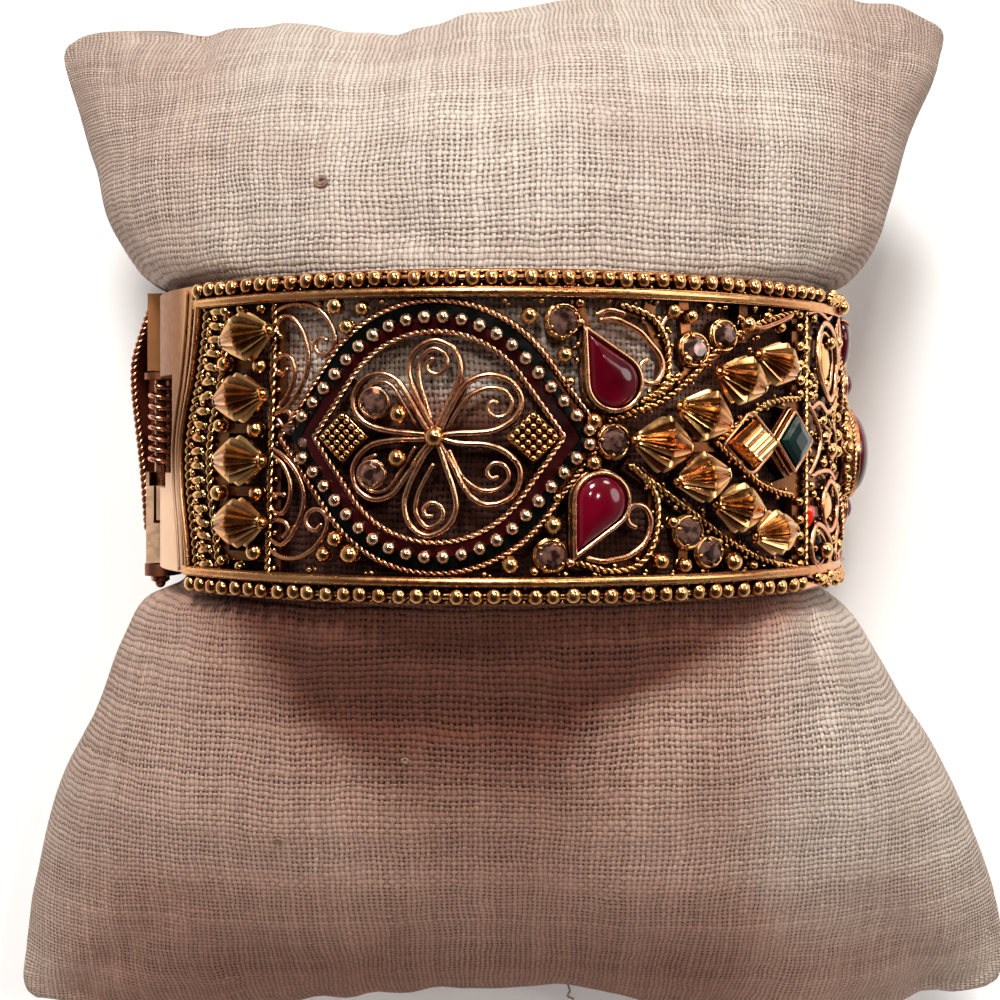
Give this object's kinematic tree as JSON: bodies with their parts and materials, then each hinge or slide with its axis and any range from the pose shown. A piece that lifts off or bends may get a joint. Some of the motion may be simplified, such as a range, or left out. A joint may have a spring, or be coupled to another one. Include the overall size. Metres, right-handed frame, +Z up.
{
  "type": "clamper bracelet on display pillow",
  "caption": "Hinged oval clamper bracelet with an openwork medallion front, fluted metal beads and set stones, closed around a pinched linen display pillow.",
  "frame": {"origin": "middle of the underside of the whole part's box, on the floor under the pillow", "axes": "+Z up, from the floor to the bracelet's front face; +Y along the wearer's arm, towards the pillow's narrower end; +X from the hinge side to the clasp side"},
  "size_m": [0.1, 0.1, 0.0539],
  "materials": {
    "gold_metal": "polished warm gold plating with dark recesses",
    "hinge_metal": "polished",
    "green_enamel": "glossy enamel",
    "red_enamel": "glossy enamel",
    "red_stone": "glossy opaque glass",
    "green_stone": "faceted dark glass",
    "linen": "plain woven linen"
  },
  "bodies": {
    "back_half": {"back_frame": "gold_metal", "back_eye_enamel_outer": "green_enamel", "back_eye_enamel_inner": "red_enamel", "hinge_pin": "hinge_metal", "hinge_spring": "hinge_metal", "display_pillow": "linen"},
    "front_half": {"front_frame": "gold_metal", "front_eye_enamel_outer": "green_enamel", "front_eye_enamel_inner": "red_enamel", "fluted_bead_left_1": "gold_metal", "fluted_bead_left_2": "gold_metal", "fluted_bead_left_3": "gold_metal", "fluted_bead_left_4": "gold_metal", "fluted_bead_right_1": "gold_metal", "fluted_bead_right_2": "gold_metal", "fluted_bead_right_3": "gold_metal", "fluted_bead_right_4": "gold_metal", "fluted_bead_right_5": "gold_metal", "fluted_bead_right_6": "gold_metal", "fluted_bead_right_7": "gold_metal", "teardrop_stone_upper": "red_stone", "teardrop_stone_lower": "red_stone", "square_stone": "green_stone", "ridged_stud": "gold_metal", "center_cabochon": "red_stone"}
  },
  "joints": [
    {"name": "clamp_hinge", "type": "hinge", "parent": "back_half", "child": "front_half", "pos_m": [-0.0342, 0.0056, 0.0275], "axis": [0, -1, 0], "range_deg": [0, 55], "stiffness_Nm_per_rad": 0.05, "springref_deg": -28.65}
  ]
}
